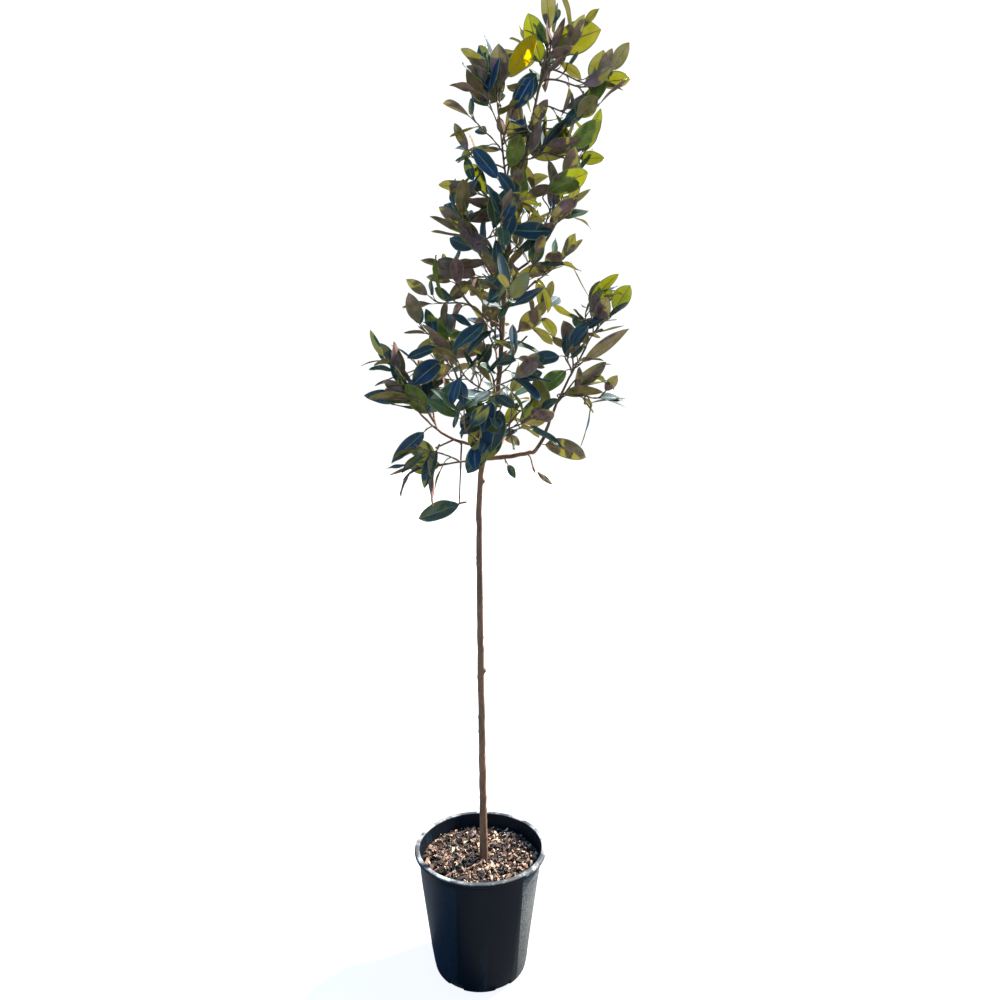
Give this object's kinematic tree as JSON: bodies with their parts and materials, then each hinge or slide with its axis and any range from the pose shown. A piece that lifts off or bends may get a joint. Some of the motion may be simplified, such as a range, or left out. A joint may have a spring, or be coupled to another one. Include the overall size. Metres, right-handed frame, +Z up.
{
  "type": "potted magnolia tree",
  "caption": "Young evergreen magnolia grown as a standard, with a bare slender trunk, a narrow leaning crown of large glossy leaves and a round black nursery pot",
  "frame": {"origin": "centre of the pot's flat underside, which stands on the ground", "axes": "+Z up along the trunk, +X to the right as the picture shows the tree, -Y towards the viewer"},
  "size_m": [0.7906, 0.672, 2.8218],
  "materials": {
    "pot_plastic": "matte black moulded plastic with dusty, scuffed rim",
    "potting_mix": "moist potting mix under loose bark chips",
    "bark": "thin grey-brown bark, smooth with low scars",
    "foliage": "glossy leathery leaves, brown and felted beneath"
  },
  "bodies": {
    "root": {"pot": "pot_plastic", "root_ball": "potting_mix", "trunk": "bark", "left_arm_bough": "bark", "left_lower_bough": "bark", "left_mid_bough": "bark", "left_upper_bough": "bark", "right_inner_bough": "bark", "right_waist_bough": "bark", "right_mid_bough": "bark", "right_shoulder_bough": "bark", "front_skirt_bough": "bark", "front_low_bough": "bark", "front_waist_bough": "bark", "front_mid_bough": "bark", "back_low_bough": "bark", "back_left_bough": "bark", "back_mid_bough": "bark", "back_upper_bough": "bark", "second_leader_bough": "bark", "left_arm_fork_bough": "bark", "left_low_bough": "bark", "left_drooping_bough": "bark", "right_arm_foot_bough": "bark", "right_arm_bough": "bark", "front_skirt_mass": "foliage", "front_low_mass": "foliage", "front_waist_mass": "foliage", "front_mid_mass": "foliage", "front_upper_mass": "foliage", "core_mid_mass": "foliage", "core_upper_mass": "foliage", "core_high_mass": "foliage", "tip_mass": "foliage", "back_low_mass": "foliage", "back_left_mass": "foliage", "back_mid_mass": "foliage", "back_upper_mass": "foliage", "left_arm_tip_mass": "foliage", "left_arm_fork_mass": "foliage", "left_low_mass": "foliage", "left_drooping_mass": "foliage", "left_lower_mass": "foliage", "left_mid_mass": "foliage", "left_upper_mass": "foliage", "left_high_mass": "foliage", "left_crest_mass": "foliage", "second_crest_mass": "foliage", "right_inner_mass": "foliage", "right_low_mass": "foliage", "right_arm_low_mass": "foliage", "right_arm_mid_mass": "foliage", "right_arm_tip_mass": "foliage", "right_waist_mass": "foliage", "right_mid_mass": "foliage", "right_shoulder_mass": "foliage", "right_high_mass": "foliage", "right_crest_mass": "foliage"}
  },
  "joints": []
}
